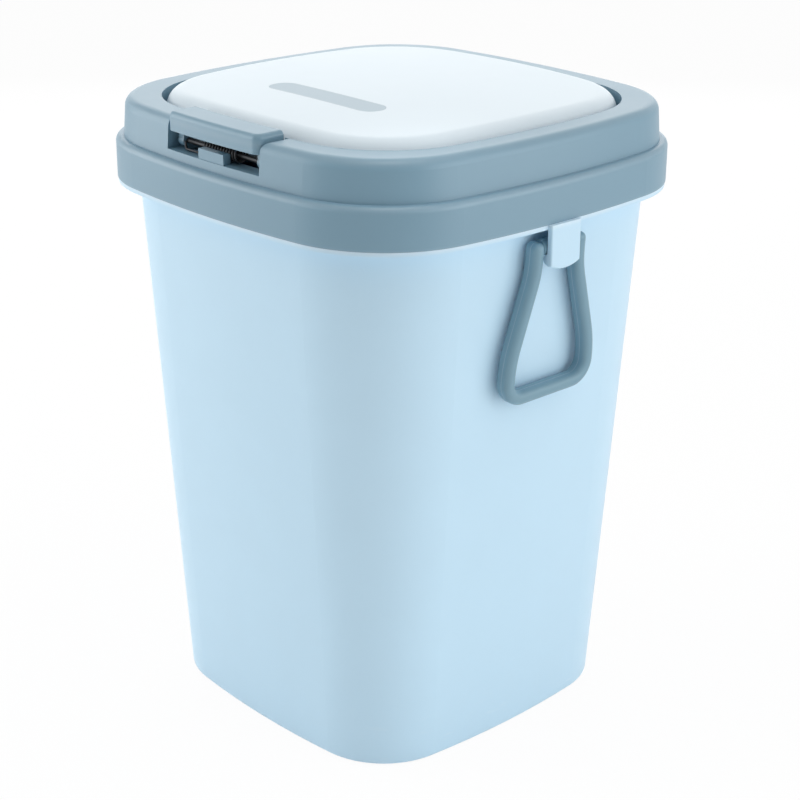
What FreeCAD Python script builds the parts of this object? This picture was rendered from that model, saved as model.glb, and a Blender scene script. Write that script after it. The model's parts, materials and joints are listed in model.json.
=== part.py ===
import FreeCAD, Part
import math
import os
import Sketcher

# Square press-button kitchen bin: a tapered bucket, a lid ring, a sprung flap and two carry loops.
# Millimetres, +Z up, origin at the middle of the base. The button is at -Y, the flap hinge at +Y.

DIMENSIONS = {
    # Plan outlines: squares with bowed sides and round corners, three families of offsets
    "skirt_half": 113.4,
    "ring_side": 520.0,
    "ring_corner": 57.5,
    "bucket_side": 490.0,
    "bucket_corner": 57.0,
    "flap_side": 470.0,
    "flap_corner": 47.0,
    # Bucket
    "neck_inset": 8.4,
    "taper": 16.8,
    "rim_height": 268.2,
    "bucket_wall": 2.0,
    "floor_thick": 2.4,
    "foot_depth": 2.5,
    "foot_width": 9.0,
    "base_round": 3.0,
    "floor_round": 5.0,
    "flange_thick": 2.2,
    "flange_inset": 0.4,
    "collar_height": 12.0,
    "collar_gap": 0.4,
    # Hook tongues on the bucket's flange
    "tongue_width": 19.0,
    "tongue_thick": 2.6,
    "tongue_proud": 2.0,
    "tongue_drop": 19.0,
    "tongue_arc": 22.0,
    "tongue_round": 0.8,
    "lip_radius": 2.4,
    # Carry loops
    "loop_section": 6.4,
    "loop_depth": 8.4,
    "loop_front": 4.6,
    "loop_section_round": 2.8,
    "loop_journal": 3.75,
    "loop_pocket_gap": 0.4,
    "loop_side_gap": 1.0,
    "loop_drop": 11.3,
    "loop_height": 70.5,
    "loop_foot_half": 26.0,
    "loop_neck": 8.0,
    "loop_crest": 3.4,
    "loop_bend_share": 0.332,
    "loop_turn_share": 0.443,
    "loop_foot_bend": 9.5,
    "seat_gap": 0.3,
    # Lid ring
    "skirt_height": 19.6,
    "skirt_round": 3.0,
    "crown_inset": 4.0,
    "crown_lean": 1.4,
    "band_width": 14.0,
    "crown_height": 18.7,
    "crown_round": 5.0,
    "ring_wall": 2.2,
    "well_wall": 1.8,
    "ledge_width": 5.6,
    "ledge_thick": 2.0,
    # Latch window in the ring's front
    "notch_width": 66.0,
    "notch_depth": 14.6,
    "jamb_round": 3.0,
    "cheek_thick": 2.2,
    "sill_depth": 9.4,
    "lug_width": 18.0,
    "lug_height": 4.8,
    "lug_depth": 4.0,
    # Press button
    "button_gap": 0.5,
    "button_low": 5.6,
    "button_rise": 3.2,
    "button_proud": 1.2,
    "button_wall": 2.0,
    "button_corner": 4.0,
    "button_round": 2.4,
    "button_arm_width": 4.0,
    "button_arm_depth": 5.0,
    "button_arm_inset": 2.0,
    "button_boss": 2.9,
    "catch_width": 16.0,
    "catch_thick": 2.0,
    "catch_drop": 0.6,
    "catch_bite": 1.0,
    "catch_hook": 2.4,
    "catch_gap": 0.4,
    "striker_width": 14.0,
    "striker_reach": 3.2,
    "striker_thick": 2.0,
    "button_pin_radius": 1.25,
    "button_pin_setback": 8.6,
    "button_pin_lift": 3.9,
    "pin_clearance": 0.05,
    "pin_end": 0.8,
    # Button spring
    "button_coil_radius": 3.0,
    "button_wire_radius": 0.5,
    "button_coil_pitch": 2.0,
    "button_coil_turns": 12.25,
    "button_leg_bend": 1.4,
    "button_leg_reach": 3.4,
    "button_leg_run": 12.0,
    "button_leg_tip": 3.6,
    "spring_rib_width": 4.0,
    "spring_rib_thick": 1.6,
    # Flap
    "flap_gap": 2.2,
    "flap_drop": 14.5,
    "flap_rise": 5.4,
    "dome_radius": 2400.0,
    "flap_round": 9.0,
    "flap_wall": 2.0,
    "liner_thick": 2.0,
    "liner_gap": 0.3,
    "liner_lift": 2.0,
    "badge_length": 75.0,
    "badge_width": 14.6,
    "badge_back": 51.0,
    "badge_depth": 0.6,
    "badge_gap": 0.12,
    # Flap hinge
    "hinge_inset": 5.6,
    "hinge_drop": 5.0,
    "hinge_pin_radius": 1.25,
    "knuckle_radius": 2.5,
    "arm_width": 7.0,
    "arm_place": 21.0,
    "arm_thick": 3.2,
    "arm_under": 0.8,
    "arm_front": 5.0,
    "hinge_lug_thick": 3.0,
    "hinge_lug_gap": 0.5,
    "hinge_lug_reach": 3.0,
    "hinge_bay_gap": 2.6,
    "hinge_pin_end": 1.4,
    # Flap springs
    "flap_coil_radius": 2.2,
    "flap_wire_radius": 0.45,
    "flap_coil_pitch": 1.8,
    "flap_coil_place": 3.4,
    "flap_coil_turns": 7.5,
    "flap_leg_drop": 8.0,
    "flap_leg_low": 3.0,
    "flap_leg_bend": 2.0,
    "flap_leg_run": 18.0,
    # Extra length of every cut, and how far a joined rib runs into its wall
    "overrun": 1.0,
    "join_depth": 0.4,
}

# Sizes and places that follow from the driving ones
PLACES = {
    "neck_half": "dim.skirt_half - dim.neck_inset",
    "base_half": "neck_half - dim.taper",
    "crown_half": "dim.skirt_half - dim.crown_inset",
    "crown_top_half": "crown_half - dim.crown_lean",
    "opening_half": "crown_top_half - dim.band_width",
    "flap_half": "opening_half - dim.flap_gap",
    "ledge_half": "opening_half - dim.ledge_width",
    "flange_low": "dim.rim_height - dim.flange_thick",
    "flange_half": "dim.skirt_half - dim.flange_inset",
    "collar_half": "dim.skirt_half - dim.ring_wall - dim.collar_gap",
    "collar_inner": "collar_half - dim.bucket_wall",
    "collar_top": "dim.rim_height + dim.collar_height",
    "floor_low": "dim.foot_depth",
    "floor_top": "dim.foot_depth + dim.floor_thick",
    "foot_inner": "base_half - dim.foot_width",
    "wall_lean": "(neck_half - base_half) / flange_low",
    "floor_half": "base_half + wall_lean * floor_top - dim.bucket_wall",
    "mouth_half": "base_half + wall_lean * dim.rim_height - dim.bucket_wall",
    "step_top": "dim.rim_height + dim.skirt_height",
    "ring_top": "step_top + dim.crown_height",
    "skirt_inner": "dim.skirt_half - dim.ring_wall",
    "step_under": "step_top - dim.ring_wall",
    "plate_under": "ring_top - dim.ring_wall",
    "crown_inner": "crown_half - dim.ring_wall",
    "crown_top_inner": "crown_top_half - dim.ring_wall",
    "well_half": "opening_half + dim.well_wall",
    "flap_low": "ring_top - dim.flap_drop",
    "ledge_top": "flap_low - dim.seat_gap",
    "ledge_low": "ledge_top - dim.ledge_thick",
    "flap_top": "ring_top + dim.flap_rise",
    "flap_blank": "flap_top - flap_low + dim.overrun",
    "dome_low": "flap_top - dim.dome_radius",
    "dome_reach": "dim.skirt_half * sqrt(2)",
    "dome_edge": "dome_low + sqrt(dim.dome_radius * dim.dome_radius - dome_reach * dome_reach)",
    "dome_over": "flap_top + dim.flap_rise",
    "core_low": "flap_low - dim.overrun",
    "core_half": "flap_half - dim.flap_wall",
    "core_top": "flap_top - dim.flap_wall",
    "core_radius": "dim.dome_radius - dim.flap_wall",
    "core_edge": "dome_low + sqrt(core_radius * core_radius - dome_reach * dome_reach)",
    "core_round": "dim.flap_round - dim.flap_wall",
    "liner_half": "flap_half - dim.flap_wall - dim.liner_gap",
    "liner_low": "flap_low + dim.liner_lift",
    "badge_y": "flap_half - dim.badge_back",
    "flap_leg_z": "flap_low - dim.flap_leg_low",
    # Hook and loop
    "tongue_out": "dim.skirt_half + dim.tongue_proud",
    "tongue_in": "tongue_out - dim.tongue_thick",
    "tongue_half": "dim.tongue_width / 2",
    "tongue_side_low": "dim.rim_height - dim.tongue_drop",
    "loop_x": "tongue_in - dim.loop_pocket_gap - dim.loop_journal",
    "loop_top": "dim.rim_height - dim.loop_drop",
    "loop_low": "loop_top - dim.loop_height",
    "loop_half": "tongue_half + dim.loop_side_gap + dim.loop_section / 2",
    "loop_section_half": "dim.loop_section / 2",
    "loop_x_high": "loop_x + dim.loop_front",
    "loop_x_low": "loop_x_high - dim.loop_depth",
    "journal_half": "loop_half - loop_section_half + dim.join_depth",
    "loop_y_low": "-loop_half - loop_section_half",
    "loop_y_high": "loop_section_half - loop_half",
    "loop_crest_z": "loop_top + dim.loop_crest",
    "leg_rise": "loop_crest_z - dim.loop_neck - loop_low - dim.loop_foot_bend",
    "leg_spread": "dim.loop_foot_half - loop_half",
    "leg_sweep": "(leg_rise * leg_rise + leg_spread * leg_spread) / (2 * leg_spread)",
    "leg_bend": "leg_sweep * dim.loop_bend_share",
    "leg_turn": "leg_sweep * dim.loop_turn_share",
    "wall_slope": "dim.taper / flange_low",
    "lip_reach": "dim.loop_journal + dim.lip_radius + dim.seat_gap",
    "lip_z": "loop_top - sqrt(lip_reach * lip_reach - (tongue_in - loop_x) * (tongue_in - loop_x))",
    # Latch window and button
    "notch_half": "dim.notch_width / 2",
    "notch_flare": "notch_half + dim.jamb_round",
    "notch_bend": "ring_top - dim.jamb_round",
    "notch_over": "flap_top + dim.overrun",
    "sill_z": "ring_top - dim.notch_depth",
    "button_half": "notch_half - dim.button_gap",
    "button_front": "crown_top_half + dim.button_proud",
    "button_front_radius": "dim.ring_side + button_front - dim.skirt_half",
    "button_front_end": "button_front - button_front_radius"
                        " + sqrt(button_front_radius * button_front_radius - button_half * button_half)",
    "button_back": "opening_half + dim.button_gap",
    "button_back_radius": "dim.flap_side + button_back - flap_half",
    "button_back_end": "button_back - button_back_radius"
                       " + sqrt(button_back_radius * button_back_radius - button_half * button_half)",
    "button_z": "ring_top - dim.button_low",
    "button_top": "ring_top + dim.button_rise",
    "button_inner_half": "button_half - dim.button_wall",
    "button_inner_front": "button_front_end - dim.button_wall",
    "button_inner_top": "button_top - dim.button_wall",
    "button_arm_out": "button_half - dim.button_arm_inset",
    "button_arm_in": "button_arm_out - dim.button_arm_width",
    "pivot_y": "crown_half - dim.button_pin_setback",
    "pivot_z": "sill_z + dim.button_pin_lift",
    "catch_tip": "flap_half + dim.striker_reach - dim.catch_bite",
    "catch_z": "button_z - dim.catch_drop",
    "catch_back": "catch_tip + dim.catch_hook",
    "striker_top": "catch_z - dim.catch_gap",
    "button_coil_half": "dim.button_coil_pitch * dim.button_coil_turns / 2",
    "rib_front": "pivot_y - dim.button_coil_radius - dim.button_wire_radius - dim.seat_gap",
    "cheek_out": "notch_half + dim.cheek_thick",
    "button_pin_half": "cheek_out + dim.pin_end",
    "lug_half": "dim.lug_width / 2",
    "lug_front": "(crown_half + crown_top_half) / 2",
    "notch_start": "opening_half - dim.overrun",
    "sill_front": "crown_inner + dim.join_depth",
    "sill_back": "crown_half - dim.sill_depth",
    # Hinge
    "hinge_y": "crown_top_half - dim.hinge_inset",
    "hinge_z": "ring_top - dim.hinge_drop",
    "arm_top": "flap_low - dim.arm_under",
    "arm_low": "arm_top - dim.arm_thick",
    "arm_out": "dim.arm_place + dim.arm_width",
    "post_back": "liner_half - dim.arm_front",
    "hinge_lug_in": "arm_out + dim.hinge_lug_gap",
    "hinge_lug_out": "hinge_lug_in + dim.hinge_lug_thick",
    "hinge_lug_half": "dim.hinge_lug_thick / 2",
    "hinge_rod_half": "hinge_lug_out + dim.hinge_pin_end",
    "hinge_bay_half": "hinge_rod_half + dim.hinge_bay_gap",
}

doc = FreeCAD.newDocument("bin")


def fill_sheet(name, rows, prefix):
    """Writes one sheet of named cells: the alias in column A, the value in column B."""
    sheet = doc.addObject("Spreadsheet::Sheet", name)
    for row, (alias, value) in enumerate(rows.items(), start=1):
        sheet.set(f"A{row}", alias)
        sheet.set(f"B{row}", f"{prefix}{value}")
        sheet.setAlias(f"B{row}", alias)
    doc.recompute()
    return sheet


fill_sheet("dim", DIMENSIONS, "")
fill_sheet("at", PLACES, "=")


def number(name):
    """Value of a cell named as sheet.alias, with an optional minus sign in front."""
    sheet, alias = name.lstrip("-").split(".")
    value = float(getattr(doc.getObject(sheet), alias))
    return -value if name.startswith("-") else value


def new_body(label):
    """Empty body whose label names its file."""
    body = doc.addObject("PartDesign::Body", label)
    body.Label = label
    return body


def new_sketch(body, name, plane, offset="0"):
    """Sketch on one of the body's own origin planes, moved along that plane's normal."""
    sketch = body.newObject("Sketcher::SketchObject", name)
    support = next(item for item in body.Origin.OriginFeatures if item.Role == plane)
    sketch.AttachmentSupport = (support, [""])
    sketch.MapMode = "FlatFace"
    sketch.setExpression("AttachmentOffset.Base.z", offset)
    return sketch


def bind(sketch, constraint, expression):
    """Adds one driving constraint and ties it to the sheets."""
    sketch.setExpression(f"Constraints[{sketch.addConstraint(constraint)}]", expression)


def add_arc(sketch, centre, radius, start, end):
    """Arc from one angle to another, counter-clockwise."""
    circle = Part.Circle(FreeCAD.Vector(*centre, 0), FreeCAD.Vector(0, 0, 1), radius)
    return sketch.addGeometry(Part.ArcOfCircle(circle, start, end), False)


def corner_centre(half, side, corner):
    """How far along X and Y the corner arc's centre lies, for arcs that meet smoothly."""
    reach = side - half
    return (math.sqrt(2 * (side - corner) ** 2 - reach ** 2) - reach) / 2


def add_plan_loop(sketch, family, half):
    """One bowed square of a family of offset outlines, with a given half width."""
    reference, side_name, corner_name = FAMILIES[family]
    side_expression = f"{side_name} + {half} - {reference}"
    corner_expression = f"{corner_name} + {half} - {reference}"
    offset = number(half) - number(reference)
    side = number(side_name) + offset
    corner = number(corner_name) + offset
    reach = side - number(half)
    middle = corner_centre(number(half), side, corner)
    turn = math.atan2(middle, middle + reach)
    away = middle * math.sqrt(2)
    arcs = []
    for quarter in range(4):
        facing = quarter * math.pi / 2
        diagonal = facing + math.pi / 4
        side_place = (-reach * math.cos(facing), -reach * math.sin(facing))
        corner_place = (away * math.cos(diagonal), away * math.sin(diagonal))
        arcs.append(add_arc(sketch, side_place, side, facing - turn, facing + turn))
        arcs.append(add_arc(sketch, corner_place, corner, facing + turn, facing + math.pi / 2 - turn))
    for here, following in zip(arcs, arcs[1:] + arcs[:1]):
        sketch.addConstraint(Sketcher.Constraint("Tangent", here, 2, following, 1))
    for arc in arcs[2::2]:
        sketch.addConstraint(Sketcher.Constraint("Equal", arcs[0], arc))
    for arc in arcs[3::2]:
        sketch.addConstraint(Sketcher.Constraint("Equal", arcs[1], arc))
    bind(sketch, Sketcher.Constraint("Radius", arcs[0], side), side_expression)
    bind(sketch, Sketcher.Constraint("Radius", arcs[1], corner), corner_expression)
    reach_expression = f"{side_name} - {reference}"
    for arc, direction, axis in ((arcs[0], "DistanceX", -1), (arcs[2], "DistanceY", -2)):
        sketch.addConstraint(Sketcher.Constraint("PointOnObject", arc, 3, axis))
        bind(sketch, Sketcher.Constraint(direction, arc, 3, -1, 1, reach), reach_expression)
    for arc, direction, axis in ((arcs[4], "DistanceX", -1), (arcs[6], "DistanceY", -2)):
        sketch.addConstraint(Sketcher.Constraint("PointOnObject", arc, 3, axis))
        bind(sketch, Sketcher.Constraint(direction, -1, 1, arc, 3, reach), reach_expression)


def plan_sketch(body, name, height, family, *halves):
    """Level sketch of one or more nested plan outlines of a family."""
    sketch = new_sketch(body, name, "XY_Plane", height)
    for half in halves:
        add_plan_loop(sketch, family, half)
    return sketch


def add_path(sketch, points, arcs=None):
    """Closed outline through named points; arcs maps a stretch's number to (radius, side).

    Side 1 is an arc that bulges to the right of its stretch, side -1 one that bulges to the left.
    """
    arcs = arcs or {}
    places = [FreeCAD.Vector(number(x) if x else 0, number(y) if y else 0, 0) for x, y in points]
    edges = []
    ends = []
    for index, start in enumerate(places):
        end = places[(index + 1) % len(places)]
        if index in arcs:
            radius, side = arcs[index]
            chord = end - start
            across = FreeCAD.Vector(chord.y, -chord.x, 0).normalize()
            depth = math.sqrt(number(radius) ** 2 - chord.Length ** 2 / 4)
            centre = (start + end) * 0.5 - across * depth * side
            first, last = (start, end) if side > 0 else (end, start)
            angles = [math.atan2(p.y - centre.y, p.x - centre.x) for p in (first, last)]
            edges.append(add_arc(sketch, (centre.x, centre.y), number(radius), *angles))
            ends.append((1, 2) if side > 0 else (2, 1))
        else:
            edges.append(sketch.addGeometry(Part.LineSegment(start, end), False))
            ends.append((1, 2))
    for index, edge in enumerate(edges):
        following = (index + 1) % len(edges)
        sketch.addConstraint(Sketcher.Constraint("Coincident", edge, ends[index][1],
                                                 edges[following], ends[following][0]))
        x, y = points[index]
        for direction, value in (("DistanceX", x), ("DistanceY", y)):
            if value:
                distance = Sketcher.Constraint(direction, -1, 1, edge, ends[index][0], number(value))
                bind(sketch, distance, value)
            else:
                axis = -2 if direction == "DistanceX" else -1
                sketch.addConstraint(Sketcher.Constraint("PointOnObject", edge, ends[index][0], axis))
        if index in arcs:
            radius = arcs[index][0]
            bind(sketch, Sketcher.Constraint("Radius", edge, number(radius)), radius)


def extrude(body, kind, name, sketch, length, backwards=False):
    """Pad or pocket of a sketch by a length, along its normal or against it."""
    feature = body.newObject(f"PartDesign::{kind}", name)
    feature.Profile = sketch
    feature.setExpression("Length", length)
    feature.Reversed = backwards
    doc.recompute()
    return feature


def loft(body, kind, name, start, end):
    """Straight loft between two level outlines."""
    feature = body.newObject(f"PartDesign::{kind}Loft", name)
    feature.Profile = start
    feature.Sections = [end]
    feature.Ruled = True
    doc.recompute()
    return feature


def block(body, kind, name, low, high):
    """Box between two corners whose coordinates are expressions."""
    box = body.newObject(f"PartDesign::{kind}Box", name)
    for size, axis, start, end in zip(("Length", "Width", "Height"), "xyz", low, high):
        box.setExpression(size, f"({end}) - ({start})")
        box.setExpression(f"Placement.Base.{axis}", start)
    doc.recompute()
    return box


ALONG_X = FreeCAD.Rotation(FreeCAD.Vector(0, 1, 0), 90)
ALONG_Y = FreeCAD.Rotation(FreeCAD.Vector(1, 0, 0), -90)


def round_bar(body, kind, name, turned, radius, start, length):
    """Cylinder from a start point along X or Y."""
    bar = body.newObject(f"PartDesign::{kind}Cylinder", name)
    bar.Placement = FreeCAD.Placement(FreeCAD.Vector(0, 0, 0), turned)
    bar.setExpression("Radius", radius)
    bar.setExpression("Height", length)
    for axis, place in zip("xyz", start):
        bar.setExpression(f"Placement.Base.{axis}", place)
    doc.recompute()
    return bar


def fillet(body, name, radius, chosen):
    """Rounds every edge of the body's tip that the test picks."""
    base = body.Tip
    picked = [f"Edge{index}" for index, edge in enumerate(base.Shape.Edges, start=1) if chosen(edge)]
    feature = body.newObject("PartDesign::Fillet", name)
    feature.Base = (base, picked)
    feature.setExpression("Radius", radius)
    doc.recompute()
    return feature


def at_height(edge, level):
    """True where an edge lies level at a given height."""
    box = edge.BoundBox
    return math.isclose(box.ZMin, level, abs_tol=TOUCH) and math.isclose(box.ZMax, level, abs_tol=TOUCH)


TOUCH = number("dim.overrun") / 1000
SIDES = (("right", ""), ("left", "-"))
FAMILIES = {
    "ring": ("dim.skirt_half", "dim.ring_side", "dim.ring_corner"),
    "bucket": ("at.neck_half", "dim.bucket_side", "dim.bucket_corner"),
    "flap": ("at.flap_half", "dim.flap_side", "dim.flap_corner"),
}


def make_bucket():
    """Tapered tub with a foot, a stepped rim and a hook tongue on each side."""
    body = new_body("bucket")
    base = plan_sketch(body, "base_outline", "0", "bucket", "at.base_half")
    neck = plan_sketch(body, "neck_outline", "at.flange_low", "bucket", "at.neck_half")
    loft(body, "Additive", "tub", neck, base)
    fillet(body, "base_edge", "dim.base_round", lambda edge: at_height(edge, 0))
    flange = plan_sketch(body, "flange_outline", "at.flange_low", "ring", "at.flange_half")
    extrude(body, "Pad", "flange", flange, "dim.flange_thick")
    collar = plan_sketch(body, "collar_outline", "dim.rim_height", "ring", "at.collar_half")
    extrude(body, "Pad", "collar", collar, "dim.collar_height")
    floor = plan_sketch(body, "floor_outline", "at.floor_top", "bucket", "at.floor_half")
    mouth = plan_sketch(body, "mouth_outline", "dim.rim_height", "bucket", "at.mouth_half")
    loft(body, "Subtractive", "hollow", floor, mouth)
    fillet(body, "floor_edge", "dim.floor_round",
           lambda edge: at_height(edge, number("at.floor_top")))
    inside = plan_sketch(body, "collar_inside", "at.collar_top", "ring", "at.collar_inner")
    extrude(body, "Pocket", "collar_hollow", inside, "dim.collar_height")
    recess = plan_sketch(body, "foot_outline", "0", "bucket", "at.foot_inner")
    extrude(body, "Pocket", "foot_hollow", recess, "dim.foot_depth", True)
    for side, sign in SIDES:
        tongue = new_sketch(body, f"{side}_tongue_outline", "YZ_Plane", f"{sign}at.tongue_in")
        add_path(tongue,
                 [("-at.tongue_half", "dim.rim_height"), ("-at.tongue_half", "at.tongue_side_low"),
                  ("at.tongue_half", "at.tongue_side_low"), ("at.tongue_half", "dim.rim_height")],
                 {1: ("dim.tongue_arc", 1)})
        extrude(body, "Pad", f"{side}_tongue", tongue, "dim.tongue_thick", side == "left")
        round_bar(body, "Additive", f"{side}_lip", ALONG_Y, "dim.lip_radius",
                  (f"{sign}at.tongue_in", "-at.tongue_half", "at.lip_z"), "dim.tongue_width")
        outer = number(f"{sign}at.tongue_out")
        fillet(body, f"{side}_tongue_edge", "dim.tongue_round",
               lambda edge: all(math.isclose(vertex.X, outer, abs_tol=TOUCH) for vertex in edge.Vertexes)
               and edge.BoundBox.ZMin < number("at.flange_low"))
    return body


def make_ring():
    """Two-tier lid frame with a flap well, a latch window and lugs for the hinge rod."""
    body = new_body("lid_ring")
    skirt = plan_sketch(body, "skirt_outline", "dim.rim_height", "ring", "dim.skirt_half")
    extrude(body, "Pad", "skirt", skirt, "dim.skirt_height")
    step = plan_sketch(body, "crown_outline", "at.step_top", "ring", "at.crown_half")
    top = plan_sketch(body, "crown_top_outline", "at.ring_top", "ring", "at.crown_top_half")
    loft(body, "Additive", "crown", step, top)
    fillet(body, "crown_edge", "dim.crown_round", lambda edge: at_height(edge, number("at.ring_top")))
    skirt_radii = (number("dim.ring_side"), number("dim.ring_corner"))
    fillet(body, "skirt_edge", "dim.skirt_round",
           lambda edge: at_height(edge, number("at.step_top"))
           and any(math.isclose(edge.Curve.Radius, radius, abs_tol=TOUCH) for radius in skirt_radii))
    below = plan_sketch(body, "skirt_inside", "dim.rim_height", "ring", "at.skirt_inner")
    extrude(body, "Pocket", "skirt_hollow", below, "dim.skirt_height - dim.ring_wall", True)
    inside = plan_sketch(body, "crown_inside", "at.step_under", "ring", "at.crown_inner")
    inside_top = plan_sketch(body, "crown_inside_top", "at.plate_under", "ring", "at.crown_top_inner")
    loft(body, "Subtractive", "crown_hollow", inside, inside_top)
    opening = plan_sketch(body, "opening_outline", "at.ring_top", "flap", "at.opening_half")
    extrude(body, "Pocket", "opening", opening, "dim.ring_wall + dim.overrun")
    well = plan_sketch(body, "well_outline", "at.ledge_low", "flap", "at.well_half", "at.opening_half")
    extrude(body, "Pad", "well", well, "at.plate_under - at.ledge_low")
    ledge = plan_sketch(body, "ledge_outline", "at.ledge_low", "flap", "at.well_half", "at.ledge_half")
    extrude(body, "Pad", "ledge", ledge, "dim.ledge_thick")
    add_latch_window(body)
    add_hinge_lugs(body)
    return body


def add_latch_window(body):
    """Notch for the press button, with its cheeks, sill, lug and pin bores."""
    block(body, "Additive", "right_cheek", ("at.notch_half", "-at.crown_top_inner", "at.ledge_low"),
          ("at.cheek_out", "-at.opening_half", "at.plate_under"))
    block(body, "Additive", "left_cheek", ("-at.cheek_out", "-at.crown_top_inner", "at.ledge_low"),
          ("-at.notch_half", "-at.opening_half", "at.plate_under"))
    block(body, "Additive", "sill", ("-at.cheek_out", "-at.sill_front", "at.ledge_low"),
          ("at.cheek_out", "-at.sill_back", "at.sill_z"))
    notch = new_sketch(body, "notch_outline", "XZ_Plane", "at.notch_start")
    add_path(notch,
             [("-at.notch_half", "at.sill_z"), ("at.notch_half", "at.sill_z"),
              ("at.notch_half", "at.notch_bend"), ("at.notch_flare", "at.ring_top"),
              ("at.notch_flare", "at.notch_over"), ("-at.notch_flare", "at.notch_over"),
              ("-at.notch_flare", "at.ring_top"), ("-at.notch_half", "at.notch_bend")],
             {2: ("dim.jamb_round", -1), 6: ("dim.jamb_round", -1)})
    extrude(body, "Pocket", "notch", notch, "dim.skirt_half - at.notch_start + dim.overrun", True)
    block(body, "Subtractive", "latch_bay",
          ("-at.notch_half", "-(at.well_half + dim.overrun)", "at.ledge_low - dim.overrun"),
          ("at.notch_half", "-(at.ledge_half - dim.overrun)", "at.notch_over"))
    block(body, "Additive", "sill_lug", ("-at.lug_half", "-at.lug_front", "at.sill_z - dim.join_depth"),
          ("at.lug_half", "dim.lug_depth - at.lug_front", "at.sill_z + dim.lug_height"))
    round_bar(body, "Subtractive", "button_pin_bore", ALONG_X, "dim.button_pin_radius + dim.pin_clearance",
              ("-at.cheek_out - dim.overrun", "-at.pivot_y", "at.pivot_z"),
              "2 * (at.cheek_out + dim.overrun)")


def add_hinge_lugs(body):
    """Bay behind the flap with three lugs under the band that carry the hinge rod."""
    block(body, "Subtractive", "hinge_bay",
          ("-at.hinge_bay_half", "at.ledge_half - dim.overrun", "at.ledge_low - dim.overrun"),
          ("at.hinge_bay_half", "at.well_half + dim.overrun", "at.plate_under"))
    ranges = {
        "right": ("at.hinge_lug_in", "at.hinge_lug_out"),
        "middle": ("-at.hinge_lug_half", "at.hinge_lug_half"),
        "left": ("-at.hinge_lug_out", "-at.hinge_lug_in"),
    }
    for side, (start, end) in ranges.items():
        block(body, "Additive", f"{side}_hinge_lug",
              (start, "at.hinge_y - dim.hinge_lug_reach", "at.hinge_z - dim.hinge_lug_reach"),
              (end, "at.crown_top_inner", "at.plate_under + dim.join_depth"))
    round_bar(body, "Subtractive", "hinge_rod_bore", ALONG_X, "dim.hinge_pin_radius + dim.pin_clearance",
              ("-at.hinge_rod_half", "at.hinge_y", "at.hinge_z"), "2 * at.hinge_rod_half")


def make_button():
    """Hollow press button on two arms, with the catch that holds the flap down."""
    body = new_body("latch_button")
    plan = new_sketch(body, "button_outline", "XY_Plane", "at.button_z")
    add_path(plan,
             [("-at.button_half", "-at.button_front_end"), ("at.button_half", "-at.button_front_end"),
              ("at.button_half", "-at.button_back_end"), ("-at.button_half", "-at.button_back_end")],
             {0: ("at.button_front_radius", 1), 2: ("at.button_back_radius", -1)})
    extrude(body, "Pad", "cap", plan, "at.button_top - at.button_z")
    fillet(body, "cap_corners", "dim.button_corner",
           lambda edge: edge.BoundBox.ZLength > number("dim.button_wall")
           and edge.BoundBox.YMax < -number("at.pivot_y"))
    fillet(body, "cap_edge", "dim.button_round",
           lambda edge: at_height(edge, number("at.button_top"))
           and edge.BoundBox.YMin < -number("at.button_back") - TOUCH)
    block(body, "Subtractive", "cap_hollow",
          ("-at.button_inner_half", "-at.button_inner_front", "at.button_z - dim.overrun"),
          ("at.button_inner_half", "dim.overrun - at.button_back_end", "at.button_inner_top"))
    arms = {
        "right": ("at.button_arm_in", "at.button_arm_out"),
        "left": ("-at.button_arm_out", "-at.button_arm_in"),
    }
    for side, (start, end) in arms.items():
        block(body, "Additive", f"{side}_arm",
              (start, "-at.pivot_y - dim.button_arm_depth / 2", "at.pivot_z"),
              (end, "dim.button_arm_depth / 2 - at.pivot_y", "at.button_inner_top + dim.join_depth"))
        round_bar(body, "Additive", f"{side}_boss", ALONG_X, "dim.button_boss",
                  (start, "-at.pivot_y", "at.pivot_z"), "dim.button_arm_width")
    block(body, "Additive", "catch_plate",
          ("-dim.catch_width / 2", "-at.catch_back - dim.catch_thick", "at.catch_z"),
          ("dim.catch_width / 2", "-at.catch_back", "at.button_inner_top + dim.join_depth"))
    block(body, "Additive", "catch_nose", ("-dim.catch_width / 2", "-at.catch_back", "at.catch_z"),
          ("dim.catch_width / 2", "-at.catch_tip", "at.catch_z + dim.catch_thick"))
    block(body, "Additive", "spring_rib",
          ("at.button_coil_half - dim.spring_rib_width / 2", "-at.rib_front", "at.button_z"),
          ("at.button_coil_half + dim.spring_rib_width / 2", "dim.spring_rib_thick - at.rib_front",
           "at.button_inner_top + dim.join_depth"))
    round_bar(body, "Subtractive", "pivot_bore", ALONG_X, "dim.button_pin_radius + dim.pin_clearance",
              ("-at.button_half", "-at.pivot_y", "at.pivot_z"), "2 * at.button_half")
    return body


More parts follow.
